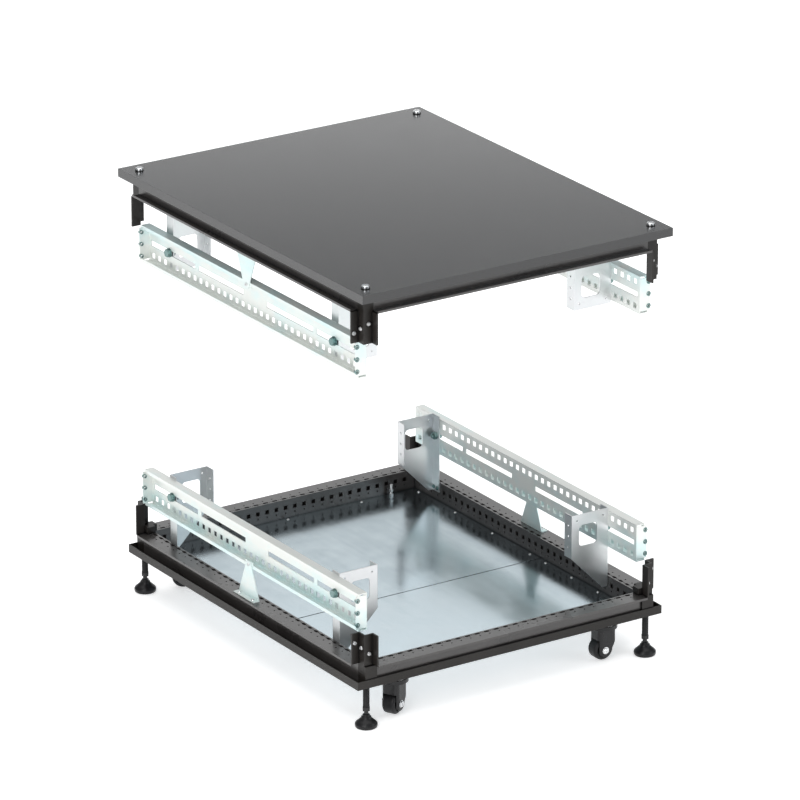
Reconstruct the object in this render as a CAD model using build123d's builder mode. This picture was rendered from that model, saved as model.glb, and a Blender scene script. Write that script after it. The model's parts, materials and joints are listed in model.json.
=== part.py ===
from build123d import *
import os

# Roof and base kit of a floor-standing 19-inch equipment cabinet.
#
# The base stands on four levelling feet with four swivel castors beside them. The roof is
# the same frame turned upside down under a flat roof panel. Each frame carries two side
# rails, and on each rail two depth-adjustable brackets slide to hold the 19-inch uprights.
#
# Origin: centre of the footprint, on the floor. +X is to the right, +Y to the rear, +Z up.
# Everything of the base that the roof repeats is made once and mirrored about MID_Z.

# ---------------------------------------------------------------- overall sizes
WIDTH = 800.0               # roof panel and tray, left to right
DEPTH = 1000.0              # roof panel, front to rear
TRAY_SHORT = 22.0           # tray short of the roof panel, front and rear
FLOOR_GAP = 97.0            # floor to the underside of the tray
KIT_HEIGHT = 1007.0         # floor to the top of the roof panel

# ---------------------------------------------------------------- sheet metal
PANEL_T = 2.0               # roof panel and tray sheet
PANEL_EDGE = 19.0           # height of the folded edge of panel and tray
SHEET_T = 2.0               # beams, rails, brackets
FLOOR_PANEL_T = 1.5
TRAY_MARGIN = 8.0           # tray sheet left standing inside the castor plates
FIT_GAP = 0.5               # assembly gap between neighbouring sheet pieces

# ---------------------------------------------------------------- perimeter frame
FRAME_INSET_X = 21.0        # panel edge to the outer face of the side beams
FRAME_INSET_Y = 29.0        # panel edge to the outer face of the front and rear beams
FRAME_H = 51.0              # outer surface of tray or panel to the face of the beams
BOX_W = 25.0                # beam from outer web to inner wall
FLANGE_W = 18.0             # outward flange of the beam, and wing of the post
FLANGE_LIP = 5.0
SUPPORT_LIP = 18.0          # inward lip that carries the floor panels
PITCH = 25.0                # punching pitch of beams and rails
SLOT_L, SLOT_W = 14.0, 7.0  # slots along the inner edge of the beam face
SLOT_EDGE = 7.0             # slot row to the inner edge
PILOT_R, PILOT_OFFSET = 1.5, 10.0       # small holes on both sides of each slot
DOT_R = 2.0                 # round holes of the beam face
DOT_EDGE = 20.0             # round hole row to the inner edge
WALL_HOLE = 10.0            # square holes of the inner wall
WALL_HOLE_DEPTH = 20.0      # their centre below the beam face
WALL_DOT_DEPTH = 33.0       # round holes of the inner wall, below the square ones

# ---------------------------------------------------------------- corner posts
POST_H = 71.0               # post beyond the beam face
POST_T = 4.0
TOE_L, TOE_H = 10.0, 16.0   # clamping toes of the base posts on the beams
SPACER_L = 30.0             # spacer of the base posts between the frame and the tray edge
POST_SCREW_Z = (49.0, 38.0, 26.0)   # front face, side face, wing: above the beam face

# ---------------------------------------------------------------- side rails
RAIL_H = 87.0
RAIL_END_GAP = 3.0          # rail end to the inner wall of the front and rear beams
RAIL_OFFSET = 120.5         # outer surface of tray or panel to the near edge of the rail
RAIL_FLANGE = 22.0
RAIL_LIP = 8.0              # folded back edge of both rail flanges
END_FLANGE = 28.0           # width of the folded ends
END_FLANGE_H = 76.0
END_HOLE_R = 3.5
END_HOLE_X = 24.0           # end holes to the inward face of the web
RAIL_ROW = 28.0             # hole rows above and below the middle of the web
RAIL_HOLE = 12.5            # square holes
SLOT_RAIL_W = 12.0          # four long slots
CENTRE_BRIDGE = 94.0        # web left standing in the middle
SLOT_BRIDGE = 13.5          # web left standing between two slots
END_BRIDGE = 8.5            # web left standing at each end
LUG_L, LUG_H = 30.0, 14.0   # folded lug that takes the gusset screw

# ---------------------------------------------------------------- gussets
GUSSET_W = 84.0
GUSSET_TIP = 17.0
GUSSET_FOOT = 14.0          # foot folded outwards on the beam face
GUSSET_SCREW_Y = 28.0       # foot screws to the middle of the gusset

# ---------------------------------------------------------------- depth-adjustable brackets
BRACKET_W = 98.0            # rail web to the face of the inner flange
BRACKET_H = 187.0           # beyond the rail edge down to the beam wall
BRACKET_OVER = 6.0          # bracket beyond the far edge of the rail
BRACKET_FLANGE = 28.0       # both flanges of the bracket
BRACKET_HOLE_INSET = 14.0   # small holes in the upper corners of the bracket face
INNER_FLANGE_H = 102.0
UPRIGHT_HOLE_R = 2.75
UPRIGHT_HOLE_PITCH = 26.0
WINDOW_W, WINDOW_H, WINDOW_R = 48.0, 50.0, 9.0
WINDOW_X = 30.0             # window edge to the rail web
WINDOW_EDGE = 26.0          # window edge to the end of the bracket
FRONT_BRACKET_IN = 112.0    # bracket face to the inner wall of the front beam
REAR_BRACKET_IN = 76.0      # bracket face to the inner wall of the rear beam
CLAMP_BOLT_R = 5.0          # M10 in the 12 mm slot
CLAMP_FIT = 0.5             # radial clearance of the clamping bolt in the bracket
CLAMP_HEAD_R, CLAMP_HEAD_H = 9.2, 7.0
CLAMP_WASHER_R, CLAMP_WASHER_T = 10.5, 2.0
CLAMP_BOLT_END = 4.0        # bolt beyond its nut
WALL_SCREW_R, WALL_SCREW_H = 5.0, 2.6
WALL_SCREW_Y, WALL_SCREW_Z = 7.0, 9.0    # screws to the flange middle and to its end

# ---------------------------------------------------------------- feet
FOOT_INSET_X = 11.0         # foot, and roof bolt, to the outer face of the side beam
FOOT_INSET_Y = 10.0         # foot, and roof bolt, to the outer face of the front or rear beam
STEM_R = 7.5
STEM_FIT = 0.05             # radial running clearance of the stem
COLLAR_R, COLLAR_LOW, COLLAR_HIGH = 8.9, 38.0, 48.0
NECK_R = 5.0
NECK_FIT = 0.05             # radial running clearance of the neck in the pad
NECK_DEPTH = 4.0            # neck inside the pad
PAD_R, PAD_H = 25.0, 30.0
PAD_RIM_R, PAD_RIM_H = 5.0, 11.0        # rounding and height of the pad rim
PAD_CONE_R, PAD_CONE_H = 11.5, 23.0     # top of the cone
PAD_CUP_R = 8.5                         # cup about the neck
COLLAR_CHAMFER = 1.5
PAD_TRAVEL = 20.0           # the foot screws up by this much

# ---------------------------------------------------------------- castors
CASTOR_INSET_X = 103.0      # swivel pin to the outer face of the side beam
CASTOR_INSET_Y = 39.0       # swivel pin to the outer face of the front or rear beam
CASTOR_TRAIL = 8.0
WHEEL_R, WHEEL_W = 25.0, 30.0
TREAD_R = 6.0               # rounding of the tread
HUB_R, HUB_RECESS = 8.0, 3.0            # hub, and depth of the recess about it
RIM_W = 7.0                 # tread and rim outside the recess
WHEEL_CLEAR = 4.0           # wheel above the floor while the feet carry the load
CASTOR_ANGLES = {"front_left": 208.0, "front_right": 180.0,
                 "rear_left": 150.0, "rear_right": 30.0}
CHEEK_T = 4.0
CHEEK_R = 16.0              # cheek about the axle
HOOD_L, HOOD_CORNER_R = 46.0, 10.0      # length and corner rounding of the hood
HOOD_SHOULDER_Z = 52.0      # lower end of the straight sides of the hood
HEAD_R, HEAD_H = 31.0, 9.0  # round swivel head on the hood
POCKET_GAP = 3.0            # wheel to the inside of the hood
WHEEL_SIDE_GAP = 1.5
AXLE_R, AXLE_FIT = 4.0, 0.05
AXLE_HEAD_R, AXLE_HEAD_H = 7.0, 2.5
MOUNT_PLATE, MOUNT_PLATE_T = 60.0, 3.5
PLATE_CORNER_R = 5.0
PLATE_HOLE_R, PLATE_HOLE_INSET = 3.2, 7.0
BEARING_R, BEARING_H = 29.0, 6.0
BEARING_GAP = 0.5
KINGPIN_R, KINGPIN_L = 6.0, 18.0
KINGPIN_FIT = 0.05          # radial running clearance of the swivel pin

# ---------------------------------------------------------------- screws
SCREW_R, SCREW_H = 5.0, 2.6             # post screws
GUSSET_SCREW_R = 4.0
SOCKET_R = 2.0                          # driver recess
HEAD_TAPER = 25.0                       # side angle of every button head, degrees

# ---------------------------------------------------------------- floor panels
SEAM_Y = -74.0              # seam between the two panels
SEAM_GAP = 3.0
FLOOR_EDGE = 1.0            # floor panel to the inner wall of the beams
FLOOR_SCREW_R, FLOOR_SCREW_H, FLOOR_SOCKET_R = 3.6, 1.8, 1.0
FLOOR_SCREW_INSET = 10.0    # screw rows to the inner wall of the beams
FLOOR_SCREW_END = 30.0      # first screw of a side row to the end of its panel
FLOOR_SCREW_PITCH = 120.0   # least spacing in a side row
FLOOR_SCREW_ROWS = 3        # least number of spaces in a side row
FLOOR_SCREW_X = 200.0       # spacing of the end rows
STUD_X, STUD_INSET, STUD_R, STUD_H = 280.0, 13.0, 5.5, 28.0
STUD_CHAMFER = 1.0

# ---------------------------------------------------------------- roof panel bolts
ROOF_BOLT_R = 4.0
ROOF_BOLT_FIT = 0.5         # radial clearance of the bolt in panel, washer and post
ROOF_HEAD_R, ROOF_HEAD_H = 8.5, 6.5
ROOF_SOCKET_R = 2.9         # across the corners, halved
ROOF_WASHER_R, ROOF_WASHER_T = 9.5, 1.5

# ---------------------------------------------------------------- worked out
FRAME_HALF_X = WIDTH / 2 - FRAME_INSET_X
FRAME_HALF_Y = DEPTH / 2 - FRAME_INSET_Y
MID_Z = (FLOOR_GAP + KIT_HEIGHT) / 2
TRAY_TOP = FLOOR_GAP + PANEL_T
BEAM_TOP = FLOOR_GAP + FRAME_H
BEAM_H = BEAM_TOP - TRAY_TOP
WALL_X = FRAME_HALF_X - BOX_W           # inner wall of the side beams
WALL_Y = FRAME_HALF_Y - BOX_W           # inner wall of the front and rear beams
RAIL_X = WALL_X                         # rail web flush with the wall of the beam below it
RAIL_LEN = 2 * (WALL_Y - RAIL_END_GAP)
SLOT_RAIL_L = (RAIL_LEN / 2 - CENTRE_BRIDGE / 2 - SLOT_BRIDGE - END_BRIDGE) / 2
RAIL_LOW = FLOOR_GAP + RAIL_OFFSET
RAIL_MID = RAIL_LOW + RAIL_H / 2
RAIL_TOP = RAIL_LOW + RAIL_H
RAIL_EDGE_X = RAIL_X + RAIL_FLANGE
FRONT_BRACKET_Y = -(WALL_Y - FRONT_BRACKET_IN)
REAR_BRACKET_Y = WALL_Y - REAR_BRACKET_IN
BRACKET_TOP = RAIL_TOP + BRACKET_OVER
BRACKET_LOW = BRACKET_TOP - BRACKET_H
FLOOR_LOW = TRAY_TOP + SHEET_T
FLOOR_TOP = FLOOR_LOW + FLOOR_PANEL_T
FOOT_X = FRAME_HALF_X - FOOT_INSET_X
FOOT_Y = FRAME_HALF_Y - FOOT_INSET_Y
CASTOR_X = FRAME_HALF_X - CASTOR_INSET_X
CASTOR_Y = FRAME_HALF_Y - CASTOR_INSET_Y
TRAY_DEPTH = DEPTH - 2 * TRAY_SHORT
SPACER_Y = TRAY_DEPTH / 2 - PANEL_T - FIT_GAP       # outer face of the spacer
CORNERS = {"front_left": (-1, -1), "front_right": (1, -1),
           "rear_left": (-1, 1), "rear_right": (1, 1)}

os.makedirs("parts", exist_ok=True)


def save(name, part):
    """Label a finished piece and write it as one STEP file."""
    part.label = name
    export_step(part, f"parts/{name}.step")


def turned_over(part):
    """The same piece in the roof, mirrored about the middle height."""
    with BuildPart() as copy:
        add(part)
        mirror(about=Plane.XY.offset(MID_Z), mode=Mode.REPLACE)
    return copy.part


def to_corner(part, side_x, side_y):
    """A piece drawn for the rear right corner, mirrored to the corner asked for."""
    with BuildPart() as copy:
        add(part)
        if side_x < 0:
            mirror(about=Plane.YZ, mode=Mode.REPLACE)
        if side_y < 0:
            mirror(about=Plane.XZ, mode=Mode.REPLACE)
    return copy.part


def pitch_places(length, pitch=PITCH):
    """Centres of a punched row that is symmetric about the middle of a length."""
    count = int((length / 2) // pitch)
    return [pitch * step for step in range(-count, count + 1)]


# ================================================================ perimeter beams
def make_beam(length, wall_at):
    """Perforated frame beam along X, its inner wall on the plane Y = -wall_at."""
    web_y = -(wall_at + BOX_W)
    tip_y = web_y - FLANGE_W
    with BuildPart() as beam:
        with BuildSketch(Plane.YZ):
            with BuildLine():
                Polyline((web_y, TRAY_TOP), (web_y, BEAM_TOP - SHEET_T),
                         (tip_y + SHEET_T, BEAM_TOP - SHEET_T),
                         (tip_y + SHEET_T, BEAM_TOP - FLANGE_LIP), (tip_y, BEAM_TOP - FLANGE_LIP),
                         (tip_y, BEAM_TOP), (-wall_at, BEAM_TOP), (-wall_at, TRAY_TOP + SHEET_T),
                         (-wall_at + SUPPORT_LIP, TRAY_TOP + SHEET_T),
                         (-wall_at + SUPPORT_LIP, TRAY_TOP), (-wall_at - SHEET_T, TRAY_TOP),
                         (-wall_at - SHEET_T, BEAM_TOP - SHEET_T),
                         (web_y + SHEET_T, BEAM_TOP - SHEET_T), (web_y + SHEET_T, TRAY_TOP),
                         close=True)
            make_face()
        extrude(amount=length / 2, both=True)
        places = pitch_places(length - PITCH)
        with BuildSketch(Plane.XY.offset(BEAM_TOP)):
            with Locations([(x, -wall_at - SLOT_EDGE) for x in places]):
                SlotOverall(SLOT_L, SLOT_W)
            with Locations([(x + side * PILOT_OFFSET, -wall_at - SLOT_EDGE)
                            for x in places for side in (-1, 1)]):
                Circle(PILOT_R)
            with Locations([(x, -wall_at - DOT_EDGE) for x in places]):
                Circle(DOT_R)
        extrude(amount=-SHEET_T, mode=Mode.SUBTRACT)
        with BuildSketch(Plane.XZ.offset(wall_at)):
            with Locations([(x, BEAM_TOP - WALL_HOLE_DEPTH) for x in places]):
                Rectangle(WALL_HOLE, WALL_HOLE)
            with Locations([(x, BEAM_TOP - WALL_DOT_DEPTH) for x in places]):
                Circle(DOT_R)
        extrude(amount=SHEET_T, mode=Mode.SUBTRACT)
        # the support lips are mitred where two beams meet
        with BuildSketch(Plane.XY.offset(TRAY_TOP)):
            for side in (-1, 1):
                with BuildLine():
                    Polyline((side * length / 2, -wall_at),
                             (side * length / 2, -wall_at + SUPPORT_LIP),
                             (side * (length / 2 - SUPPORT_LIP - FIT_GAP), -wall_at + SUPPORT_LIP),
                             (side * (length / 2 - FIT_GAP), -wall_at), close=True)
                make_face()
        extrude(amount=SHEET_T, mode=Mode.SUBTRACT)
    return beam.part


def turned(part, angle):
    """A piece turned about the vertical through the origin."""
    with BuildPart() as copy:
        add(part, rotation=(0, 0, angle))
    return copy.part


front_beam = make_beam(2 * WALL_X, WALL_Y)
side_beam = make_beam(2 * WALL_Y, WALL_X)
beams = {"front": front_beam, "rear": turned(front_beam, 180),
         "left": turned(side_beam, -90), "right": turned(side_beam, 90)}
for place, part in beams.items():
    save(f"base_beam_{place}", part)
    save(f"roof_beam_{place}", turned_over(part))


# ================================================================ corner posts
def post_outline(grow):
    """Corners of the W-shaped plan at the rear right; grow is the sheet thickness."""
    out_x, out_y = FRAME_HALF_X, FRAME_HALF_Y
    return [(out_x, out_y), (out_x, WALL_Y + grow), (out_x + FLANGE_W, WALL_Y + grow),
            (out_x + FLANGE_W, WALL_Y), (out_x - grow, WALL_Y), (out_x - grow, out_y - grow),
            (WALL_X, out_y - grow), (WALL_X, out_y + FLANGE_W),
            (WALL_X + grow, out_y + FLANGE_W), (WALL_X + grow, out_y)]


def make_post(with_toes):
    """Corner post: square foot inside the beams, W-shaped stub beyond them."""
    with BuildPart() as post:
        with BuildSketch(Plane.XY.offset(TRAY_TOP)):
            with Locations(((WALL_X + FRAME_HALF_X) / 2, (WALL_Y + FRAME_HALF_Y) / 2)):
                Rectangle(BOX_W, BOX_W)
        extrude(amount=BEAM_H)
        with BuildSketch(Plane.XY.offset(BEAM_TOP)):
            with BuildLine():
                Polyline(*post_outline(POST_T), close=True)
            make_face()
        extrude(amount=POST_H)
        if with_toes:
            with BuildSketch(Plane.XY.offset(BEAM_TOP)):
                with BuildLine():
                    Polyline((FRAME_HALF_X - POST_T, WALL_Y - TOE_L), (WALL_X, WALL_Y - TOE_L),
                             (WALL_X, WALL_Y), (WALL_X - TOE_L, WALL_Y),
                             (WALL_X - TOE_L, FRAME_HALF_Y - POST_T),
                             (FRAME_HALF_X - POST_T, FRAME_HALF_Y - POST_T), close=True)
                make_face()
            extrude(amount=TOE_H)
            with BuildSketch(Plane.XY.offset(TRAY_TOP)):
                with Locations((FRAME_HALF_X - SPACER_L / 2, (FRAME_HALF_Y + SPACER_Y) / 2)):
                    Rectangle(SPACER_L, SPACER_Y - FRAME_HALF_Y)
            extrude(amount=BEAM_H - SHEET_T)
        # bore for the foot or the roof bolt, open down to the tray
        with BuildSketch(Plane.XY.offset(TRAY_TOP)):
            with Locations((FOOT_X, FOOT_Y)):
                Circle(STEM_R + STEM_FIT if with_toes else ROOF_BOLT_R + ROOF_BOLT_FIT)
        extrude(amount=BEAM_H + TOE_H, mode=Mode.SUBTRACT)
    return post.part


def corner_group(make_one):
    """One node of four separate solids, one at each corner."""
    with BuildPart() as group:
        for side_x, side_y in CORNERS.values():
            add(to_corner(make_one, side_x, side_y))
    return group.part


save("base_corner_posts", corner_group(make_post(True)))
save("roof_corner_posts", corner_group(turned_over(make_post(False))))


# ================================================================ button-head screws
def button_screw(plane, head_r, head_h, socket_r):
    """Domed head seated on a plane, with a round driver recess."""
    with BuildPart() as screw:
        with BuildSketch(plane):
            Circle(head_r)
        extrude(amount=head_h, taper=HEAD_TAPER)
        with BuildSketch(plane.offset(head_h)):
            Circle(socket_r)
        extrude(amount=-head_h / 2, mode=Mode.SUBTRACT)
    return screw.part


def post_screws():
    """The three screws of the rear right post of the base."""
    high, mid, low = POST_SCREW_Z
    wing_x = FRAME_HALF_X + FLANGE_W / 2 + SHEET_T
    with BuildPart() as screws:
        rear_face = Plane((FRAME_HALF_X - BOX_W / 2, FRAME_HALF_Y, BEAM_TOP + low), z_dir=(0, 1, 0))
        side_face = Plane((FRAME_HALF_X, FRAME_HALF_Y - BOX_W / 2, BEAM_TOP + mid), z_dir=(1, 0, 0))
        wing_face = Plane((wing_x, WALL_Y + POST_T, BEAM_TOP + high), z_dir=(0, 1, 0))
        for face in (rear_face, side_face, wing_face):
            add(button_screw(face, SCREW_R, SCREW_H, SOCKET_R))
    return screws.part


# ================================================================ side rails
def make_rail():
    """Right-hand C-section rail, open outwards, with folded and punched ends."""
    half = RAIL_LEN / 2
    outer_x = RAIL_EDGE_X
    with BuildPart() as rail:
        with BuildSketch(Plane.XZ.offset(-half)):
            with BuildLine():
                Polyline((RAIL_X, RAIL_LOW), (outer_x, RAIL_LOW), (outer_x, RAIL_LOW + RAIL_LIP),
                         (outer_x - SHEET_T, RAIL_LOW + RAIL_LIP),
                         (outer_x - SHEET_T, RAIL_LOW + SHEET_T),
                         (RAIL_X + SHEET_T, RAIL_LOW + SHEET_T),
                         (RAIL_X + SHEET_T, RAIL_TOP - SHEET_T),
                         (outer_x - SHEET_T, RAIL_TOP - SHEET_T),
                         (outer_x - SHEET_T, RAIL_TOP - RAIL_LIP),
                         (outer_x, RAIL_TOP - RAIL_LIP), (outer_x, RAIL_TOP), (RAIL_X, RAIL_TOP),
                         close=True)
            make_face()
        extrude(amount=RAIL_LEN)
        # long slots and the two rows of square holes in the web
        with BuildSketch(Plane.YZ.offset(RAIL_X)):
            inner = CENTRE_BRIDGE / 2 + SLOT_RAIL_L / 2
            outer = inner + SLOT_RAIL_L + SLOT_BRIDGE
            with Locations([(side * y, RAIL_MID) for side in (-1, 1) for y in (inner, outer)]):
                Rectangle(SLOT_RAIL_L, SLOT_RAIL_W)
            rows = [(y, RAIL_MID + side * RAIL_ROW)
                    for y in pitch_places(RAIL_LEN - PITCH) for side in (-1, 1)]
            with Locations(rows):
                Rectangle(RAIL_HOLE, RAIL_HOLE)
        extrude(amount=SHEET_T, mode=Mode.SUBTRACT)
        # folded ends
        for side in (-1, 1):
            end = Plane((0, side * half, 0), x_dir=(1, 0, 0), z_dir=(0, -side, 0))
            with BuildSketch(end):
                with Locations((RAIL_X + END_FLANGE / 2, side * RAIL_MID)):
                    RectangleRounded(END_FLANGE, END_FLANGE_H, SHEET_T)
                with Locations([(RAIL_X + END_HOLE_X, side * (RAIL_MID + step * RAIL_ROW))
                                for step in (-1, 0, 1)]):
                    Circle(END_HOLE_R, mode=Mode.SUBTRACT)
            extrude(amount=SHEET_T)
        # lug for the gusset screw, folded up from the flange next to the beam
        with BuildSketch(Plane.YZ.offset(outer_x)):
            with Locations((0, RAIL_LOW + LUG_H / 2)):
                Rectangle(LUG_L, LUG_H)
        extrude(amount=-SHEET_T)
    return rail.part


right_rail = make_rail()
left_rail = to_corner(right_rail, -1, 1)
save("base_rail_right", right_rail)
save("base_rail_left", left_rail)
save("roof_rail_right", turned_over(right_rail))
save("roof_rail_left", turned_over(left_rail))


# ================================================================ gussets
def make_gusset():
    """Trapezoidal plate from the beam face up to the lug of the right rail."""
    plate_x = RAIL_EDGE_X
    tip_z = RAIL_LOW + LUG_H
    with BuildPart() as gusset:
        with BuildSketch(Plane.YZ.offset(plate_x)):
            with BuildLine():
                Polyline((-GUSSET_W / 2, BEAM_TOP), (GUSSET_W / 2, BEAM_TOP),
                         (GUSSET_TIP / 2, tip_z), (-GUSSET_TIP / 2, tip_z), close=True)
            make_face()
        extrude(amount=SHEET_T)
        with BuildSketch(Plane.XY.offset(BEAM_TOP)):
            with Locations((plate_x + (GUSSET_FOOT + SHEET_T) / 2, 0)):
                Rectangle(GUSSET_FOOT + SHEET_T, GUSSET_W)
        extrude(amount=SHEET_T)
    return gusset.part


def gusset_screws():
    """Screws of the right gusset: one in the lug, two in the foot."""
    foot_x = RAIL_EDGE_X + SHEET_T + GUSSET_FOOT / 2
    with BuildPart() as screws:
        lug = Plane((RAIL_EDGE_X + SHEET_T, 0, RAIL_LOW + LUG_H / 2), z_dir=(1, 0, 0))
        add(button_screw(lug, GUSSET_SCREW_R, SCREW_H, SOCKET_R))
        for side in (-1, 1):
            foot = Plane((foot_x, side * GUSSET_SCREW_Y, BEAM_TOP + SHEET_T), z_dir=(0, 0, 1))
            add(button_screw(foot, GUSSET_SCREW_R, SCREW_H, SOCKET_R))
    return screws.part


def side_pair(part):
    """One node of two separate solids, right and left."""
    with BuildPart() as pair:
        add(part)
        add(to_corner(part, -1, 1))
    return pair.part


gusset_pair = side_pair(make_gusset())
save("base_gussets", gusset_pair)
save("roof_gussets", turned_over(gusset_pair))

with BuildPart() as frame_screws:
    add(corner_group(post_screws()))
    add(side_pair(gusset_screws()))
save("base_frame_screws", frame_screws.part)
save("roof_frame_screws", turned_over(frame_screws.part))


# ================================================================ depth-adjustable brackets
def make_bracket():
    """Rear right bracket of the base: face across the rail, both flanges to the front."""
    rail_side = RAIL_X
    inner_side = RAIL_X - BRACKET_W
    face_y = REAR_BRACKET_Y
    with BuildPart() as bracket:
        with BuildSketch(Plane.XZ.offset(-face_y)):
            with BuildLine():
                Polyline((inner_side, BRACKET_TOP), (rail_side, BRACKET_TOP),
                         (rail_side, BRACKET_LOW), (rail_side - BRACKET_FLANGE / 2, BRACKET_LOW),
                         (inner_side, BRACKET_TOP - INNER_FLANGE_H), close=True)
            make_face()
            with Locations((rail_side - WINDOW_X - WINDOW_W / 2,
                            BRACKET_TOP - WINDOW_EDGE - WINDOW_H / 2)):
                RectangleRounded(WINDOW_W, WINDOW_H, WINDOW_R, mode=Mode.SUBTRACT)
            with Locations([(x, BRACKET_TOP - BRACKET_HOLE_INSET)
                            for x in (inner_side + BRACKET_HOLE_INSET,
                                      rail_side - BRACKET_HOLE_INSET)]):
                Circle(DOT_R, mode=Mode.SUBTRACT)
        extrude(amount=SHEET_T)
        # inner flange with the upright holes
        with BuildSketch(Plane.YZ.offset(inner_side)):
            with Locations((face_y - BRACKET_FLANGE / 2, BRACKET_TOP - INNER_FLANGE_H / 2)):
                Rectangle(BRACKET_FLANGE, INNER_FLANGE_H)
            with Locations([(face_y - BRACKET_FLANGE / 2,
                             BRACKET_TOP - INNER_FLANGE_H / 2 + step * UPRIGHT_HOLE_PITCH)
                            for step in (-1, 0, 1)]):
                Circle(UPRIGHT_HOLE_R, mode=Mode.SUBTRACT)
        extrude(amount=SHEET_T)
        # flange that lies on the rail web and on the inner wall of the beam
        with BuildSketch(Plane.YZ.offset(rail_side)):
            with Locations((face_y - BRACKET_FLANGE / 2, BRACKET_TOP - BRACKET_H / 2)):
                Rectangle(BRACKET_FLANGE, BRACKET_H)
            with Locations((face_y - BRACKET_FLANGE / 2, RAIL_MID)):
                Circle(CLAMP_BOLT_R + CLAMP_FIT, mode=Mode.SUBTRACT)
        extrude(amount=-SHEET_T)
    return bracket.part


def make_clamp():
    """Clamping bolt with washer and nut, and the two wall screws of the same bracket."""
    axis_y = REAR_BRACKET_Y - BRACKET_FLANGE / 2
    inside = RAIL_X - SHEET_T
    outside = RAIL_X + SHEET_T
    with BuildPart() as clamp:
        with BuildSketch(Plane.YZ.offset(outside)):
            with Locations((axis_y, RAIL_MID)):
                Circle(CLAMP_WASHER_R)
        extrude(amount=CLAMP_WASHER_T)
        with BuildSketch(Plane.YZ.offset(outside + CLAMP_WASHER_T)):
            with Locations((axis_y, RAIL_MID)):
                RegularPolygon(CLAMP_HEAD_R, 6)
        extrude(amount=CLAMP_HEAD_H)
        with BuildSketch(Plane.YZ.offset(inside - CLAMP_HEAD_H - CLAMP_BOLT_END)):
            with Locations((axis_y, RAIL_MID)):
                Circle(CLAMP_BOLT_R)
        extrude(amount=CLAMP_HEAD_H + CLAMP_BOLT_END + 2 * SHEET_T)
        with BuildSketch(Plane.YZ.offset(inside)):
            with Locations((axis_y, RAIL_MID)):
                RegularPolygon(CLAMP_HEAD_R, 6)
        extrude(amount=-CLAMP_HEAD_H)
    with BuildPart() as screws:
        for step in (-1, 1):
            seat = Plane((inside, axis_y + step * WALL_SCREW_Y, BRACKET_LOW + WALL_SCREW_Z),
                         z_dir=(-1, 0, 0))
            add(button_screw(seat, WALL_SCREW_R, WALL_SCREW_H, SOCKET_R))
    with BuildPart() as both:
        add(clamp.part)
        add(screws.part)
    return both.part


def at_front(part):
    """The rear bracket's piece, mirrored to the place of the front bracket."""
    with BuildPart() as copy:
        add(part)
        mirror(about=Plane.XZ.offset(-(REAR_BRACKET_Y + FRONT_BRACKET_Y) / 2), mode=Mode.REPLACE)
    return copy.part


bracket = make_bracket()
clamp = make_clamp()
for place, (side_x, side_y) in CORNERS.items():
    for kind, part in (("bracket", bracket), ("clamp", clamp)):
        placed = part if side_y > 0 else at_front(part)
        placed = to_corner(placed, side_x, 1)
        save(f"base_{kind}_{place}", placed)
        save(f"roof_{kind}_{place}", turned_over(placed))


# ================================================================ tray
with BuildPart() as tray:
    opening_y = 2 * (CASTOR_Y - MOUNT_PLATE / 2 - TRAY_MARGIN)
    with BuildSketch(Plane.XY.offset(FLOOR_GAP)):
        Rectangle(WIDTH, TRAY_DEPTH)
    extrude(amount=PANEL_EDGE)
    with BuildSketch(Plane.XY.offset(TRAY_TOP)):
        Rectangle(WIDTH - 2 * PANEL_T, TRAY_DEPTH - 2 * PANEL_T)
    extrude(amount=PANEL_EDGE, mode=Mode.SUBTRACT)
    # cable opening under the floor panels, and the holes of the feet
    with BuildSketch(Plane.XY.offset(FLOOR_GAP)):
        Rectangle(2 * (WALL_X - SUPPORT_LIP), opening_y)
        with GridLocations(2 * FOOT_X, 2 * FOOT_Y, 2, 2):
            Circle(STEM_R + STEM_FIT)
    extrude(amount=PANEL_T, mode=Mode.SUBTRACT)
save("base_tray", tray.part)


# ================================================================ floor panels
def floor_panel(low_y, high_y):
    """One zinc-plated floor panel between two Y positions."""
    with BuildPart() as panel:
        with BuildSketch(Plane.XY.offset(FLOOR_LOW)):
            with Locations((0, (low_y + high_y) / 2)):
                Rectangle(2 * (WALL_X - FLOOR_EDGE), high_y - low_y)
        extrude(amount=FLOOR_PANEL_T)
    return panel.part


rear_panel = (SEAM_Y + SEAM_GAP / 2, WALL_Y - FLOOR_EDGE)
front_panel = (-WALL_Y + FLOOR_EDGE, SEAM_Y - SEAM_GAP / 2)
save("floor_panel_rear", floor_panel(*rear_panel))
save("floor_panel_front", floor_panel(*front_panel))

with BuildPart() as floor_screws:
    for low_y, high_y in (front_panel, rear_panel):
        first, last = low_y + FLOOR_SCREW_END, high_y - FLOOR_SCREW_END
        rows = max(FLOOR_SCREW_ROWS, int((last - first) // FLOOR_SCREW_PITCH))
        for row in range(rows + 1):
            y = first + (last - first) * row / rows
            for side in (-1, 1):
                seat = Plane((side * (WALL_X - FLOOR_SCREW_INSET), y, FLOOR_TOP), z_dir=(0, 0, 1))
                add(button_screw(seat, FLOOR_SCREW_R, FLOOR_SCREW_H, FLOOR_SOCKET_R))
    for side in (-1, 1):
        for x in (-FLOOR_SCREW_X, 0.0, FLOOR_SCREW_X):
            seat = Plane((x, side * (WALL_Y - FLOOR_SCREW_INSET), FLOOR_TOP), z_dir=(0, 0, 1))
            add(button_screw(seat, FLOOR_SCREW_R, FLOOR_SCREW_H, FLOOR_SOCKET_R))
save("floor_screws", floor_screws.part)

with BuildPart() as stud:
    with BuildSketch(Plane.XY.offset(FLOOR_TOP)):
        with Locations((STUD_X, WALL_Y - STUD_INSET)):
            Circle(STUD_R)
    extrude(amount=STUD_H)
    chamfer(stud.edges().group_by(Axis.Z)[-1], STUD_CHAMFER)
save("earthing_stud", stud.part)


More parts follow.
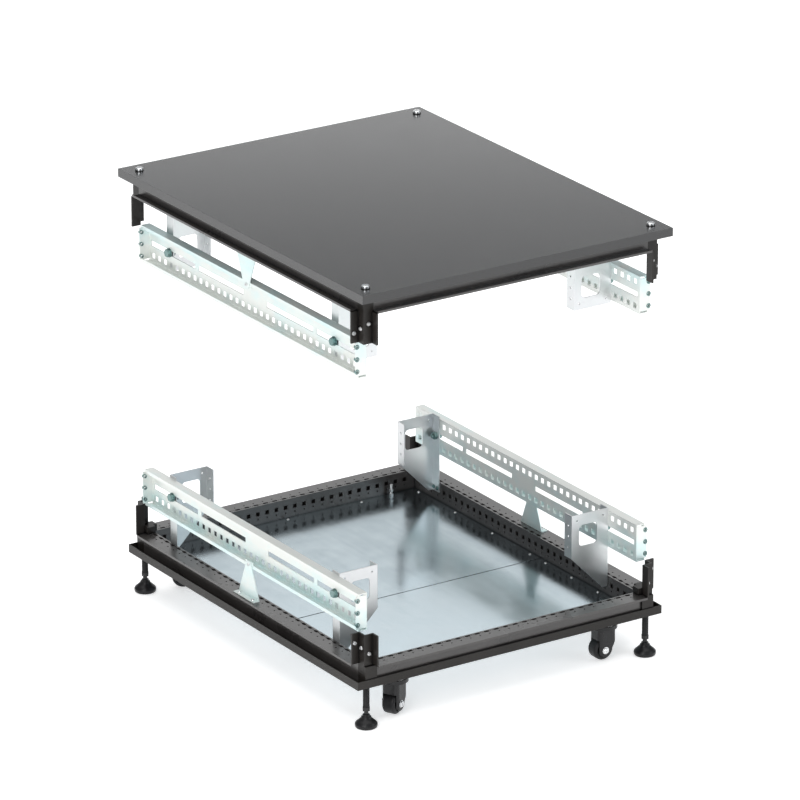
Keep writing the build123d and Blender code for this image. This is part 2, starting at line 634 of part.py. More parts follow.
# ================================================================ levelling feet
def make_foot_stem():
    """Stem of the rear right foot: threaded rod, collar and neck down into the pad."""
    with BuildPart() as stem:
        with BuildSketch(Plane.XY.offset(COLLAR_HIGH)):
            with Locations((FOOT_X, FOOT_Y)):
                Circle(STEM_R)
        extrude(amount=BEAM_TOP - COLLAR_HIGH - PAD_TRAVEL / 2)
        with BuildSketch(Plane.XY.offset(COLLAR_LOW)):
            with Locations((FOOT_X, FOOT_Y)):
                Circle(COLLAR_R)
        extrude(amount=COLLAR_HIGH - COLLAR_LOW)
        chamfer(stem.edges().filter_by(GeomType.CIRCLE).group_by(Axis.Z)[0], COLLAR_CHAMFER)
        with BuildSketch(Plane.XY.offset(PAD_H - NECK_DEPTH)):
            with Locations((FOOT_X, FOOT_Y)):
                Circle(NECK_R)
        extrude(amount=COLLAR_LOW - PAD_H + NECK_DEPTH)
    return stem.part


def make_foot_pad():
    """Conical pad with a rounded rim and a socket for the neck of the stem."""
    with BuildPart() as pad:
        with BuildSketch(Plane.XZ):
            with BuildLine():
                Polyline((PAD_R, PAD_RIM_R), (PAD_R, PAD_RIM_H - 2), (PAD_R - 1, PAD_RIM_H),
                         (PAD_CONE_R, PAD_CONE_H), (PAD_CONE_R, PAD_CONE_H + 2),
                         (PAD_CUP_R, PAD_CONE_H + 3), (PAD_CUP_R, PAD_H),
                         (NECK_R + NECK_FIT, PAD_H), (NECK_R + NECK_FIT, PAD_H - NECK_DEPTH),
                         (0, PAD_H - NECK_DEPTH), (0, 0), (PAD_R - PAD_RIM_R, 0))
                RadiusArc((PAD_R - PAD_RIM_R, 0), (PAD_R, PAD_RIM_R), -PAD_RIM_R)
            make_face()
        revolve(axis=Axis.Z)
    with BuildPart() as placed:
        with Locations((FOOT_X, FOOT_Y)):
            add(pad.part)
    return placed.part


foot_stem = make_foot_stem()
foot_pad = make_foot_pad()
for place, (side_x, side_y) in CORNERS.items():
    save(f"foot_stem_{place}", to_corner(foot_stem, side_x, side_y))
    save(f"foot_pad_{place}", to_corner(foot_pad, side_x, side_y))


# ================================================================ castors
AXLE_Z = WHEEL_R + WHEEL_CLEAR
PLATE_LOW = FLOOR_GAP - MOUNT_PLATE_T
BEARING_LOW = PLATE_LOW - BEARING_H
FORK_TOP = BEARING_LOW - BEARING_GAP
HOOD_LOW = FORK_TOP - HEAD_H
POCKET_W = WHEEL_W + 2 * WHEEL_SIDE_GAP
FORK_W = POCKET_W + 2 * CHEEK_T


def make_mount_plate():
    """Square top plate with the round bearing seat of the rear right castor."""
    with BuildPart() as plate:
        with BuildSketch(Plane.XY.offset(PLATE_LOW)):
            with Locations((CASTOR_X, CASTOR_Y)):
                RectangleRounded(MOUNT_PLATE, MOUNT_PLATE, PLATE_CORNER_R)
                spacing = MOUNT_PLATE - 2 * PLATE_HOLE_INSET
                with GridLocations(spacing, spacing, 2, 2):
                    Circle(PLATE_HOLE_R, mode=Mode.SUBTRACT)
        extrude(amount=MOUNT_PLATE_T)
        with BuildSketch(Plane.XY.offset(BEARING_LOW)):
            with Locations((CASTOR_X, CASTOR_Y)):
                Circle(BEARING_R)
        extrude(amount=BEARING_H)
        with BuildSketch(Plane.XY.offset(BEARING_LOW)):
            with Locations((CASTOR_X, CASTOR_Y)):
                Circle(KINGPIN_R)
        extrude(amount=-KINGPIN_L)
    return plate.part


def make_fork():
    """Hooded fork about the origin, trailing towards +X, with its axle bolt."""
    cheek_low = CASTOR_TRAIL - CHEEK_R
    cheek_high = CASTOR_TRAIL + CHEEK_R
    hood_back = cheek_high - HOOD_L
    with BuildPart() as fork:
        # side view: straight hood that narrows to round cheeks about the axle
        with BuildSketch(Plane.XZ):
            with BuildLine():
                Polyline((hood_back, HOOD_LOW), (cheek_high, HOOD_LOW), (cheek_high, AXLE_Z),
                         (cheek_low, AXLE_Z), (hood_back, HOOD_SHOULDER_Z), close=True)
            make_face()
            with Locations((CASTOR_TRAIL, AXLE_Z)):
                Circle(CHEEK_R)
        extrude(amount=FORK_W / 2, both=True)
        # plan view: rounded corners
        with BuildSketch(Plane.XY):
            with Locations(((hood_back + cheek_high) / 2, 0)):
                RectangleRounded(HOOD_L, FORK_W, HOOD_CORNER_R)
        extrude(amount=HOOD_LOW, mode=Mode.INTERSECT)
        # pocket for the wheel, open downwards and to the trailing side
        with BuildSketch(Plane.XZ):
            with Locations((CASTOR_TRAIL, AXLE_Z)):
                Circle(WHEEL_R + POCKET_GAP)
            with Locations((CASTOR_TRAIL, AXLE_Z - WHEEL_R)):
                Rectangle(2 * (WHEEL_R + POCKET_GAP), 2 * WHEEL_R)
        extrude(amount=POCKET_W / 2, both=True, mode=Mode.SUBTRACT)
        # round swivel head with the bore for the swivel pin
        with BuildSketch(Plane.XY.offset(HOOD_LOW)):
            Circle(HEAD_R)
        extrude(amount=HEAD_H)
        with BuildSketch(Plane.XY.offset(FORK_TOP)):
            Circle(KINGPIN_R + KINGPIN_FIT)
        extrude(amount=-KINGPIN_L, mode=Mode.SUBTRACT)
        # axle bolt
        with BuildSketch(Plane.XZ):
            with Locations((CASTOR_TRAIL, AXLE_Z)):
                Circle(AXLE_R)
        extrude(amount=FORK_W / 2, both=True)
        for side in (-1, 1):
            head = Plane((CASTOR_TRAIL, side * FORK_W / 2, AXLE_Z), z_dir=(0, side, 0))
            with BuildSketch(head):
                Circle(AXLE_HEAD_R)
            extrude(amount=AXLE_HEAD_H, taper=HEAD_TAPER)
    return fork.part


def make_wheel():
    """Castor wheel about the axle, with a rounded tread and a recessed hub."""
    with BuildPart() as wheel:
        with BuildSketch(Plane.XY):
            Circle(WHEEL_R)
            Circle(AXLE_R + AXLE_FIT, mode=Mode.SUBTRACT)
        extrude(amount=WHEEL_W / 2, both=True)
        rims = wheel.edges().filter_by(GeomType.CIRCLE).sort_by(SortBy.RADIUS)[-2:]
        fillet(rims, TREAD_R)
        for side in (-1, 1):
            with BuildSketch(Plane.XY.offset(side * WHEEL_W / 2)):
                Circle(WHEEL_R - RIM_W)
                Circle(HUB_R, mode=Mode.SUBTRACT)
            extrude(amount=-side * HUB_RECESS, mode=Mode.SUBTRACT)
    with BuildPart() as placed:
        with Locations(Location((CASTOR_TRAIL, 0, AXLE_Z), (90, 0, 0))):
            add(wheel.part)
    return placed.part


save("castor_plates", corner_group(make_mount_plate()))
fork = make_fork()
wheel = make_wheel()
for place, (side_x, side_y) in CORNERS.items():
    for kind, part in (("fork", fork), ("wheel", wheel)):
        with BuildPart() as placed:
            with Locations(Location((side_x * CASTOR_X, side_y * CASTOR_Y, 0),
                                    (0, 0, CASTOR_ANGLES[place]))):
                add(part)
        save(f"castor_{kind}_{place}", placed.part)


# ================================================================ roof panel
with BuildPart() as roof_panel:
    with BuildSketch(Plane.XY.offset(KIT_HEIGHT)):
        Rectangle(WIDTH, DEPTH)
    extrude(amount=-PANEL_EDGE)
    with BuildSketch(Plane.XY.offset(KIT_HEIGHT - PANEL_T)):
        Rectangle(WIDTH - 2 * PANEL_T, DEPTH - 2 * PANEL_T)
    extrude(amount=-PANEL_EDGE, mode=Mode.SUBTRACT)
    with BuildSketch(Plane.XY.offset(KIT_HEIGHT)):
        with GridLocations(2 * FOOT_X, 2 * FOOT_Y, 2, 2):
            Circle(ROOF_BOLT_R + ROOF_BOLT_FIT)
    extrude(amount=-PANEL_T, mode=Mode.SUBTRACT)
save("roof_panel", roof_panel.part)


with BuildPart() as roof_washers:
    with BuildSketch(Plane.XY.offset(KIT_HEIGHT)):
        with GridLocations(2 * FOOT_X, 2 * FOOT_Y, 2, 2):
            Circle(ROOF_WASHER_R)
            Circle(ROOF_BOLT_R + ROOF_BOLT_FIT, mode=Mode.SUBTRACT)
    extrude(amount=ROOF_WASHER_T)
save("roof_washers", roof_washers.part)


def roof_bolt():
    """Rear right bolt of the roof panel: domed hexagon-socket head and shank."""
    head_low = KIT_HEIGHT + ROOF_WASHER_T
    with BuildPart() as bolt:
        with BuildSketch(Plane.XY.offset(head_low)):
            with Locations((FOOT_X, FOOT_Y)):
                Circle(ROOF_HEAD_R)
        extrude(amount=ROOF_HEAD_H)
        fillet(bolt.edges().group_by(Axis.Z)[-1], ROOF_HEAD_H / 2)
        with BuildSketch(Plane.XY.offset(head_low + ROOF_HEAD_H)):
            with Locations((FOOT_X, FOOT_Y)):
                RegularPolygon(ROOF_SOCKET_R, 6)
        extrude(amount=-ROOF_HEAD_H / 2, mode=Mode.SUBTRACT)
        with BuildSketch(Plane.XY.offset(head_low)):
            with Locations((FOOT_X, FOOT_Y)):
                Circle(ROOF_BOLT_R)
        extrude(amount=-FRAME_H)
    return bolt.part


save("roof_bolts", corner_group(roof_bolt()))
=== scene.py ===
"""Looks of the 19-inch cabinet roof and base kit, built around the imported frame.

Metres, in the CAD frame: floor at z = 0, centre of the footprint at x = y = 0, front at -Y.
"""

import json
import math

import bmesh
import bpy
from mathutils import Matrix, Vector


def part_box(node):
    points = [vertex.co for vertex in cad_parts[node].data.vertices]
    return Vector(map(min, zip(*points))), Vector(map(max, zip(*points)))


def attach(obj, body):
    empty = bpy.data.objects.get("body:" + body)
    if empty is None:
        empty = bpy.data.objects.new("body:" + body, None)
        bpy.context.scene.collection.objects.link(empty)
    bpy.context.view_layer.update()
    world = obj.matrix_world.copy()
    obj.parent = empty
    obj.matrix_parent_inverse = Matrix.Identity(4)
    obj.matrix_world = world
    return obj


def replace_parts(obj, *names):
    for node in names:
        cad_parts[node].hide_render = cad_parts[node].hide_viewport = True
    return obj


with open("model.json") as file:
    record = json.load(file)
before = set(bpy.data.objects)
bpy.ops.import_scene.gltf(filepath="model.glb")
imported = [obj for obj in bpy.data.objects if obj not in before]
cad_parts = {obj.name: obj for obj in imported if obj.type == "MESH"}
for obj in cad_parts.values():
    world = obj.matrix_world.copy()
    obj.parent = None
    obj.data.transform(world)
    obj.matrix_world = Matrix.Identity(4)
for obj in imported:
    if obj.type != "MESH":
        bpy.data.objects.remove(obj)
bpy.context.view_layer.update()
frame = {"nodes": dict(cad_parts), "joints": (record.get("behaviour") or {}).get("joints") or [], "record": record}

CORNERS = ("front_left", "front_right", "rear_left", "rear_right")
MID_Z = (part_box("base_tray")[0][2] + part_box("roof_panel")[1][2]) / 2

# ---------------------------------------------------------------- camera
CAMERA_AT = Vector((-7.672, -11.756, 5.846))
CAMERA_AZIMUTH = -33.2
CAMERA_ELEVATION = 20.73
LENS_MM = 304.8
SENSOR_MM = 36.0

# ---------------------------------------------------------------- finishes
# slot: (colour, second colour of its mottling, roughness, clear coat, specular level)
PAINTS = {
    "black_paint": ((0.012, 0.0105, 0.009), (0.023, 0.020, 0.018), 0.36, 0.0, 0.28),
    "black_paint_roof": ((0.016, 0.016, 0.017), (0.019, 0.0185, 0.019), 0.25, 0.5, 0.5),
    "grey_beam": ((0.034, 0.031, 0.030), (0.058, 0.053, 0.051), 0.28, 0.6, 0.4),
    "washer_black": ((0.02, 0.02, 0.02), (0.03, 0.03, 0.03), 0.6, 0.0, 0.3),
    "castor_black": ((0.008, 0.008, 0.009), (0.014, 0.014, 0.015), 0.26, 0.2, 0.25),
    "tread_black": ((0.008, 0.008, 0.009), (0.016, 0.016, 0.017), 0.42, 0.0, 0.25),
    "foot_steel": ((0.012, 0.012, 0.013), (0.024, 0.024, 0.025), 0.30, 0.0, 0.35),
    "pad_black": ((0.008, 0.008, 0.009), (0.016, 0.016, 0.017), 0.32, 0.1, 0.25),
}
METALS = {
    "zinc_rail": ((0.66, 0.82, 0.82), (0.81, 0.83, 0.80), 0.42, 0.45),
    "zinc_bracket": ((0.64, 0.68, 0.68), (0.68, 0.69, 0.70), 0.33, 0.85),
    "zinc_floor": ((0.45, 0.53, 0.57), (0.53, 0.61, 0.65), 0.18, 1.0),
    "screw_steel": ((0.62, 0.63, 0.64), (0.74, 0.74, 0.74), 0.30, 1.0),
    "bolt_steel": ((0.72, 0.74, 0.76), (0.82, 0.82, 0.82), 0.22, 1.0),
    "clamp_steel": ((0.10, 0.19, 0.19), (0.20, 0.30, 0.29), 0.34, 0.8),
}
EDGE_R_PAINT, EDGE_R_ZINC = 0.0008, 0.0007      # rounding of sheet edges
HOLE_REACH = 0.006          # how near a wall must be to shade a punched hole
HIGHLIGHT_SHARE = 4              # painted edge highlight: its colour as a multiple of the mottle
STREAK_SHARE, GRADE_SHARE = 0.5, 0.30           # of streaks and height in the zinc's tint


def new_material(name):
    """An empty material with its output and principled shader."""
    mat = bpy.data.materials.new(name)
    mat.use_nodes = True
    nodes, links = mat.node_tree.nodes, mat.node_tree.links
    nodes.clear()
    out = nodes.new("ShaderNodeOutputMaterial")
    shader = nodes.new("ShaderNodeBsdfPrincipled")
    links.new(shader.outputs["BSDF"], out.inputs["Surface"])
    return mat, nodes, links, shader


def object_noise(nodes, links, scale, stretch=(1, 1, 1), detail=4.0):
    """Noise in the object's own metres, stretched along an axis where asked."""
    coords = nodes.new("ShaderNodeTexCoord")
    mapping = nodes.new("ShaderNodeMapping")
    mapping.inputs["Scale"].default_value = stretch
    noise = nodes.new("ShaderNodeTexNoise")
    noise.inputs["Scale"].default_value = scale
    noise.inputs["Detail"].default_value = detail
    links.new(coords.outputs["Object"], mapping.inputs["Vector"])
    links.new(mapping.outputs["Vector"], noise.inputs["Vector"])
    return noise.outputs["Fac"]


def math_node(nodes, links, operation, first, second):
    """A math node; either value may be a number or another node's output."""
    node = nodes.new("ShaderNodeMath")
    node.operation = operation
    for socket, value in zip(node.inputs, (first, second)):
        if isinstance(value, (int, float)):
            socket.default_value = value
        else:
            links.new(value, socket)
    return node.outputs["Value"]


def ramp(nodes, links, value, low, high, start=0.3, end=0.7):
    """A colour that runs from low to high as value runs from start to end."""
    node = nodes.new("ShaderNodeValToRGB")
    node.color_ramp.elements[0].position = start
    node.color_ramp.elements[0].color = (*low, 1)
    node.color_ramp.elements[1].position = end
    node.color_ramp.elements[1].color = (*high, 1)
    links.new(value, node.inputs["Fac"])
    return node.outputs["Color"]


def between(nodes, links, value, low, high, start=0.3, end=0.7):
    """A number that runs from low to high as value runs from start to end."""
    node = nodes.new("ShaderNodeMapRange")
    node.inputs["From Min"].default_value = start
    node.inputs["From Max"].default_value = end
    node.inputs["To Min"].default_value = low
    node.inputs["To Max"].default_value = high
    links.new(value, node.inputs["Value"])
    return node.outputs["Result"]


def soft_edges(nodes, links, radius):
    """Normals rounded over the sharp edges of folded sheet."""
    bevel = nodes.new("ShaderNodeBevel")
    bevel.samples = 4
    bevel.inputs["Radius"].default_value = radius
    return bevel.outputs["Normal"]


def bump(nodes, links, height, strength, distance, normal):
    """Relief from a height, laid over a normal."""
    node = nodes.new("ShaderNodeBump")
    node.inputs["Strength"].default_value = strength
    node.inputs["Distance"].default_value = distance
    links.new(height, node.inputs["Height"])
    links.new(normal, node.inputs["Normal"])
    return node.outputs["Normal"]


def highlight_edges(nodes, links, colour, rounded, highlight_colour):
    """The colour, lighter where the rounded normal leaves the face: a painted highlight along the edges."""
    geometry = nodes.new("ShaderNodeNewGeometry")
    dot = nodes.new("ShaderNodeVectorMath")
    dot.operation = "DOT_PRODUCT"
    links.new(geometry.outputs["Normal"], dot.inputs[0])
    links.new(rounded, dot.inputs[1])
    # painted highlight: grows as the rounded normal turns away from the face, at the edges
    painted_highlight = between(nodes, links, dot.outputs["Value"], 0.35, 0.0, 0.80, 0.98)
    mix = nodes.new("ShaderNodeMix")
    mix.data_type = "RGBA"
    links.new(painted_highlight, mix.inputs["Factor"])
    links.new(colour, mix.inputs["A"])
    mix.inputs["B"].default_value = (*highlight_colour, 1)
    return mix.outputs["Result"]


def shaded(nodes, links, colour, reach):
    """The colour, black inside punched holes and narrow gaps, where no light gets in."""
    shade = nodes.new("ShaderNodeAmbientOcclusion")
    shade.samples = 6
    shade.inputs["Distance"].default_value = reach
    open_share = between(nodes, links, shade.outputs["AO"], 0.0, 1.0, 0.55, 0.9)
    mix = nodes.new("ShaderNodeMix")
    mix.data_type = "RGBA"
    links.new(open_share, mix.inputs["Factor"])
    mix.inputs["A"].default_value = (0.001, 0.001, 0.001, 1)
    links.new(colour, mix.inputs["B"])
    return mix.outputs["Result"]


def powder_coat(name, colour, mottle, roughness, coat, specular):
    """Satin powder coat or moulded plastic: fine grain, cloudy gloss, a painted highlight along the edges, painted
    shade in holes and gaps.
    """
    mat, nodes, links, shader = new_material(name)
    cloud = object_noise(nodes, links, 9.0)
    grain = object_noise(nodes, links, 1400.0, detail=2.0)
    rounded = soft_edges(nodes, links, EDGE_R_PAINT)
    painted = ramp(nodes, links, cloud, colour, mottle)
    lighter = [channel * HIGHLIGHT_SHARE for channel in mottle]
    # painted highlight along every edge, a few times lighter than the mottle
    painted_highlight = highlight_edges(nodes, links, painted, rounded, lighter)
    links.new(shaded(nodes, links, painted_highlight, HOLE_REACH), shader.inputs["Base Color"])
    links.new(between(nodes, links, cloud, roughness - 0.012, roughness + 0.015),
              shader.inputs["Roughness"])
    shader.inputs["Specular IOR Level"].default_value = specular
    shader.inputs["Coat Weight"].default_value = coat
    shader.inputs["Coat Roughness"].default_value = roughness
    links.new(bump(nodes, links, grain, 0.12, 0.0002, rounded), shader.inputs["Normal"])
    return mat


def height_from_middle(nodes, links):
    low_rail, high_rail = (MID_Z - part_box("base_rail_left")[corner][2] for corner in (0, 1))
    coords = nodes.new("ShaderNodeTexCoord")
    split = nodes.new("ShaderNodeSeparateXYZ")
    links.new(coords.outputs["Object"], split.inputs["Vector"])
    away = math_node(nodes, links, "SUBTRACT", split.outputs["Z"], MID_Z)
    distance = math_node(nodes, links, "ABSOLUTE", away, 0.0)
    return between(nodes, links, distance, 0.0, 1.0, low_rail, high_rail)


def zinc_plate(name, colour, warm, roughness, metallic):
    """Plated steel: rolling streaks along the length and cloudy passivation tints."""
    mat, nodes, links, shader = new_material(name)
    patches = object_noise(nodes, links, 14.0)
    streaks = object_noise(nodes, links, 60.0, stretch=(1.0, 0.05, 1.0))
    fine = object_noise(nodes, links, 900.0, detail=2.0)
    faint = math_node(nodes, links, "MULTIPLY", streaks, STREAK_SHARE)
    cloudy = math_node(nodes, links, "ADD", patches, faint)
    graded = math_node(nodes, links, "MULTIPLY", height_from_middle(nodes, links), GRADE_SHARE)
    tint = math_node(nodes, links, "ADD", cloudy, graded)
    links.new(ramp(nodes, links, tint, colour, warm, 0.60, 1.0), shader.inputs["Base Color"])
    links.new(between(nodes, links, cloudy, roughness - 0.03, roughness + 0.03, 0.55, 0.95),
              shader.inputs["Roughness"])
    shader.inputs["Metallic"].default_value = metallic
    rounded = soft_edges(nodes, links, EDGE_R_ZINC)
    links.new(bump(nodes, links, fine, 0.06, 0.0001, rounded), shader.inputs["Normal"])
    return mat


finishes = {slot: powder_coat(slot, *values) for slot, values in PAINTS.items()}
finishes.update({slot: zinc_plate(slot, *values) for slot, values in METALS.items()})

slot_of = {part["node"]: part["material_slot"] for part in frame["record"]["subparts"]}
for node, obj in frame["nodes"].items():
    obj.data.materials.clear()
    obj.data.materials.append(finishes[slot_of[node]])


# ---------------------------------------------------------------- turned pieces
def join_rings(mesh, pairs):
    """Adds the quads between each pair of neighbouring rings."""
    for low, high in pairs:
        for step in range(len(low)):
            after = (step + 1) % len(low)
            mesh.faces.new((low[step], low[after], high[after], high[step]))


def lathe(mesh, profile, sides, at, radius_at=None):
    """Adds the solid of revolution of (radius, height) points to a bmesh."""
    rings = []
    for radius, height in profile:
        ring = []
        for step in range(sides):
            angle = math.tau * step / sides
            r = radius_at(radius, height, angle) if radius_at else radius
            ring.append(mesh.verts.new((at[0] + r * math.cos(angle), at[1] + r * math.sin(angle),
                                        height)))
        rings.append(ring)
    join_rings(mesh, zip(rings, rings[1:]))
    mesh.faces.new(reversed(rings[0]))
    mesh.faces.new(rings[-1])


def finished(name, mesh, slot, body, smooth_deg=35.0):
    """Makes the bmesh an object with its finish, riding on a body."""
    data = bpy.data.meshes.new(name)
    mesh.normal_update()
    mesh.to_mesh(data)
    mesh.free()
    obj = bpy.data.objects.new(name, data)
    bpy.context.scene.collection.objects.link(obj)
    data.materials.append(finishes[slot])
    data.set_sharp_from_angle(angle=math.radians(smooth_deg))
    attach(obj, body)
    return obj


THREAD_PITCH = 0.002
THREAD_DEPTH = 0.0009
RINGS_PER_TURN = 6
STEM_SIDES, PAD_SIDES = 36, 64
NUT_CHAMFER = 0.0012


def threaded(mesh, radius, low, high, at):
    """Adds a rod with a helical thread between two heights."""
    count = round((high - low) / THREAD_PITCH * RINGS_PER_TURN)
    profile = [(radius, low + (high - low) * step / count) for step in range(count + 1)]

    def groove(r, height, angle):
        turn = (height / THREAD_PITCH - angle / math.tau) % 1.0
        return r - THREAD_DEPTH * (1 - abs(2 * turn - 1))

    lathe(mesh, profile, STEM_SIDES, at, groove)


def hexagon(mesh, across, low, high, at):
    """Adds a hexagonal nut or collar with chamfered corners."""
    profile = [(across - NUT_CHAMFER, low), (across, low + NUT_CHAMFER / 2),
               (across, high - NUT_CHAMFER / 2), (across - NUT_CHAMFER, high)]
    lathe(mesh, profile, 6, at)


# shares of the stem's height: bottom and top of its hexagonal collar
COLLAR_LOW, COLLAR_HIGH = 0.107, 0.196
ROD_SHARE, NECK_SHARE = 0.84, 0.56      # of the collar's radius
# shares of the pad's radius and height: rounded rim, cone with a groove, and cup
PAD_SHAPE = [(0.84, 0.0), (0.93, 0.03), (0.98, 0.09), (1.0, 0.17), (1.0, 0.26), (0.985, 0.32),
             (0.95, 0.36), (0.93, 0.37), (0.92, 0.395), (0.74, 0.52), (0.56, 0.66), (0.47, 0.745),
             (0.45, 0.78), (0.45, 0.82), (0.42, 0.85), (0.35, 0.87), (0.33, 0.91), (0.33, 0.97),
             (0.31, 1.0)]

for corner in CORNERS:
    low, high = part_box(f"foot_stem_{corner}")
    centre = ((low[0] + high[0]) / 2, (low[1] + high[1]) / 2)
    collar_r = (high[0] - low[0]) / 2
    tall = high[2] - low[2]
    collar = (low[2] + COLLAR_LOW * tall, low[2] + COLLAR_HIGH * tall)
    stem = bmesh.new()
    threaded(stem, collar_r * ROD_SHARE, collar[1], high[2], centre)
    hexagon(stem, collar_r, *collar, centre)
    neck_r = collar_r * NECK_SHARE
    lathe(stem, [(neck_r, low[2]), (neck_r, collar[0])], STEM_SIDES, centre)
    piece = finished(f"threaded_stem_{corner}", stem, "foot_steel", f"stem_{corner}")
    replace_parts(piece, f"foot_stem_{corner}")

    low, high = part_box(f"foot_pad_{corner}")
    pad_r, pad_h = (high[0] - low[0]) / 2, high[2] - low[2]
    pad = bmesh.new()
    lathe(pad, [(pad_r * r, low[2] + pad_h * h) for r, h in PAD_SHAPE], PAD_SIDES, centre)
    piece = finished(f"moulded_pad_{corner}", pad, "pad_black", f"pad_{corner}", 40.0)
    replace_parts(piece, f"foot_pad_{corner}")

# earthing stud: threaded rod with two nuts; heights of the nuts in nut radii
STUD_ROD_SHARE = 0.72       # of the nut's radius
STUD_NUTS = ((0.0, 1.0), (1.8, 2.8))
low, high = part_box("earthing_stud")
centre = ((low[0] + high[0]) / 2, (low[1] + high[1]) / 2)
nut_r = (high[0] - low[0]) / 2
stud = bmesh.new()
threaded(stud, nut_r * STUD_ROD_SHARE, low[2], high[2], centre)
for bottom, top in STUD_NUTS:
    hexagon(stud, nut_r, low[2] + bottom * nut_r, low[2] + top * nut_r, centre)
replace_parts(finished("threaded_stud", stud, "screw_steel", "base"), "earthing_stud")


# ---------------------------------------------------------------- axle bolts of the castors
CHEEK_OUT = 0.0205          # castor centre to the outer face of a cheek
AXLE_HEAD_R, AXLE_HEAD_H = 0.0082, 0.0042
# shares of the head's radius, and heights: washer, raised head, round recess
AXLE_HEAD = [(1.0, 0.0), (1.0, 0.0012), (0.82, 0.0014), (0.80, 0.0034), (0.72, AXLE_HEAD_H),
             (0.42, AXLE_HEAD_H), (0.38, AXLE_HEAD_H * 0.62)]
AXLE_SIDES = 30

for joint in frame["joints"]:
    if not joint["name"].startswith("castor_spin_"):
        continue
    corner = joint["name"].removeprefix("castor_spin_")
    low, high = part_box(f"castor_wheel_{corner}")
    centre = (Vector(low) + Vector(high)) / 2
    bolt = bmesh.new()
    for side in (-1, 1):
        before = len(bolt.verts)
        lathe(bolt, [(AXLE_HEAD_R * r, height) for r, height in AXLE_HEAD], AXLE_SIDES, (0, 0))
        outward = Vector(joint["axis"]) * side
        turn = outward.to_track_quat("Z", "Y").to_matrix().to_4x4()
        turn.translation = centre + outward * CHEEK_OUT
        bmesh.ops.transform(bolt, matrix=turn, verts=list(bolt.verts)[before:])
    finished(f"axle_bolt_{corner}", bolt, "bolt_steel", f"swivel_{corner}", 20.0)


# ---------------------------------------------------------------- rivet nuts in the rail ends
RIVET_OUT_R, RIVET_IN_R = 0.0056, 0.0034
RIVET_RIM, RIVET_DEPTH = 0.0012, 0.006
RIVET_BODY_R = RIVET_OUT_R * 0.78
RIVET_SHEET = 0.0021        # the body starts behind the rail's sheet
RIVET_CHAMFER = 0.0005
RIVET_SIDES = 28
RAIL_ROW = 0.028            # hole to hole
HOLE_FROM_WEB = 0.024


def rivet_nut(mesh, x, y, z, outward):
    """Adds a flanged tube along Y, its rim against the outer face of the rail end at y."""
    body = [(RIVET_IN_R, -RIVET_DEPTH), (RIVET_BODY_R, -RIVET_DEPTH),
            (RIVET_BODY_R, -RIVET_SHEET), (RIVET_IN_R, -RIVET_SHEET)]
    rim = [(RIVET_IN_R, 0.0), (RIVET_OUT_R, 0.0), (RIVET_OUT_R, RIVET_RIM * 0.6),
           (RIVET_OUT_R - RIVET_CHAMFER, RIVET_RIM), (RIVET_IN_R, RIVET_RIM)]
    angles = [math.tau * step / RIVET_SIDES for step in range(RIVET_SIDES)]
    for outline in (body, rim):
        rings = [[mesh.verts.new((x + radius * math.cos(angle), y + outward * along,
                                  z + radius * math.sin(angle))) for angle in angles]
                 for radius, along in outline]
        join_rings(mesh, zip(rings, rings[1:] + rings[:1]))


for level in ("base", "roof"):
    nuts = bmesh.new()
    for hand, side in (("left", -1), ("right", 1)):
        low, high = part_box(f"{level}_rail_{hand}")
        web_x = high[0] if side < 0 else low[0]
        middle = (low[2] + high[2]) / 2
        for end, outward in ((low[1], -1), (high[1], 1)):
            for row in (-1, 0, 1):
                rivet_nut(nuts, web_x + side * HOLE_FROM_WEB, end, middle + row * RAIL_ROW, outward)
    bmesh.ops.recalc_face_normals(nuts, faces=nuts.faces)
    finished(f"{level}_rivet_nuts", nuts, "clamp_steel", level)


# ---------------------------------------------------------------- dark strip under the floor seam, painted shade
SHADE_STRIP_WIDTH, SHADE_STRIP_T = 0.024, 0.0016
SHADE_STRIP_RIBS, RIB_SHARE = 6, 1.4           # ribs, and the depth of every other one


def seam_shade_strip():
    """Ribbed dark strip under the seam, standing in for the shade there, so that no light comes up through it."""
    rear_low, front_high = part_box("floor_panel_rear")[0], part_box("floor_panel_front")[1]
    middle = (rear_low[1] + front_high[1]) / 2
    top = rear_low[2]
    half_x = front_high[0]
    profile = [(-SHADE_STRIP_WIDTH / 2, top), (-SHADE_STRIP_WIDTH / 2, top - SHADE_STRIP_T)]
    for rib in range(SHADE_STRIP_RIBS):
        along = -SHADE_STRIP_WIDTH / 2 + SHADE_STRIP_WIDTH * (rib + 0.5) / SHADE_STRIP_RIBS
        profile.append((along, top - SHADE_STRIP_T * (RIB_SHARE if rib % 2 else 1.0)))
    profile += [(SHADE_STRIP_WIDTH / 2, top - SHADE_STRIP_T), (SHADE_STRIP_WIDTH / 2, top)]
    mesh = bmesh.new()
    ends = [[mesh.verts.new((x, middle + y, z)) for y, z in profile] for x in (-half_x, half_x)]
    for step in range(len(profile)):
        after = (step + 1) % len(profile)
        mesh.faces.new((ends[0][step], ends[0][after], ends[1][after], ends[1][step]))
    mesh.faces.new(ends[0])
    mesh.faces.new(reversed(ends[1]))
    bmesh.ops.recalc_face_normals(mesh, faces=mesh.faces)
    # painted shade: the dark strip keeps the seam black from below
    finished("seam_shade_strip", mesh, "washer_black", "base", 20.0)


seam_shade_strip()


# ---------------------------------------------------------------- studio
FLOOR_HALF = 30.0
FLOOR_GLOW = 0.50           # evens out the soft boxes' light on the floor


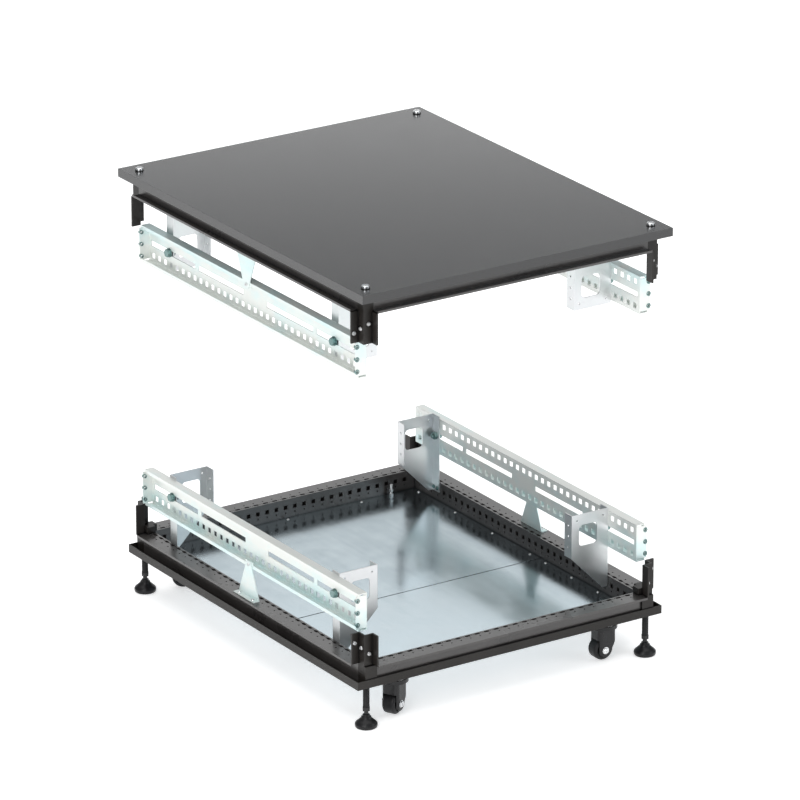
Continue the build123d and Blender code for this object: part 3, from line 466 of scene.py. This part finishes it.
def floor():
    """Plain pale floor."""
    mesh = bpy.data.meshes.new("studio_floor")
    corners = [(x * FLOOR_HALF, y * FLOOR_HALF, 0) for x, y in ((-1, -1), (1, -1), (1, 1), (-1, 1))]
    mesh.from_pydata(corners, [], [(0, 1, 2, 3)])
    obj = bpy.data.objects.new("studio_floor", mesh)
    bpy.context.scene.collection.objects.link(obj)
    mat, nodes, links, shader = new_material("pale_floor")
    cloud = object_noise(nodes, links, 0.6)
    links.new(ramp(nodes, links, cloud, (0.90, 0.90, 0.90), (0.93, 0.93, 0.93)),
              shader.inputs["Base Color"])
    shader.inputs["Roughness"].default_value = 0.9
    shader.inputs["Specular IOR Level"].default_value = 0.1
    shader.inputs["Emission Color"].default_value = (1, 1, 1, 1)
    shader.inputs["Emission Strength"].default_value = FLOOR_GLOW
    mesh.materials.append(mat)


def soft_light(name, at, aim, size, watts, colour=(1, 1, 1)):
    """A rectangular soft box at a place, aimed at a point."""
    data = bpy.data.lights.new(name, "AREA")
    data.shape = "RECTANGLE"
    data.size, data.size_y = size
    data.energy = watts
    data.color = colour
    obj = bpy.data.objects.new(name, data)
    obj.location = at
    obj.rotation_euler = (Vector(aim) - Vector(at)).to_track_quat("-Z", "Y").to_euler()
    obj.visible_camera = False
    bpy.context.scene.collection.objects.link(obj)


def studio():
    """Pale surround with soft boxes at the front left, the front right, behind and above."""
    world = bpy.data.worlds.new("surround")
    world.use_nodes = True
    back = world.node_tree.nodes["Background"]
    back.inputs["Color"].default_value = (0.95, 0.98, 1.0, 1)
    back.inputs["Strength"].default_value = 0.28
    bpy.context.scene.world = world
    soft_light("key", (-5.0, -4.0, 3.6), (0, 0, 0.4), (3.5, 3.0), 190)
    soft_light("fill", (4.5, -5.0, 2.6), (0, 0, 0.5), (3.0, 3.0), 80, (0.93, 0.97, 1.0))
    soft_light("back_high", (1.6, 2.5, 1.68), (0, 0, 1.2), (4.5, 0.5), 7.8)
    soft_light("back_low", (1.6, 2.5, 0.95), (0, 0, 0.6), (4.5, 1.0), 8)
    soft_light("top", (0.0, 0.5, 7.0), (0, 0.5, 0), (9.0, 9.0), 440)


def camera():
    """Long lens from the front left, above the roof."""
    data = bpy.data.cameras.new("camera")
    data.lens = LENS_MM
    data.sensor_width = SENSOR_MM
    data.clip_end = 200.0
    obj = bpy.data.objects.new("camera", data)
    obj.location = CAMERA_AT
    obj.rotation_euler = (math.radians(90 - CAMERA_ELEVATION), 0, math.radians(CAMERA_AZIMUTH))
    bpy.context.scene.collection.objects.link(obj)
    bpy.context.scene.camera = obj


floor()
studio()
camera()
bpy.context.scene.view_settings.view_transform = "Standard"
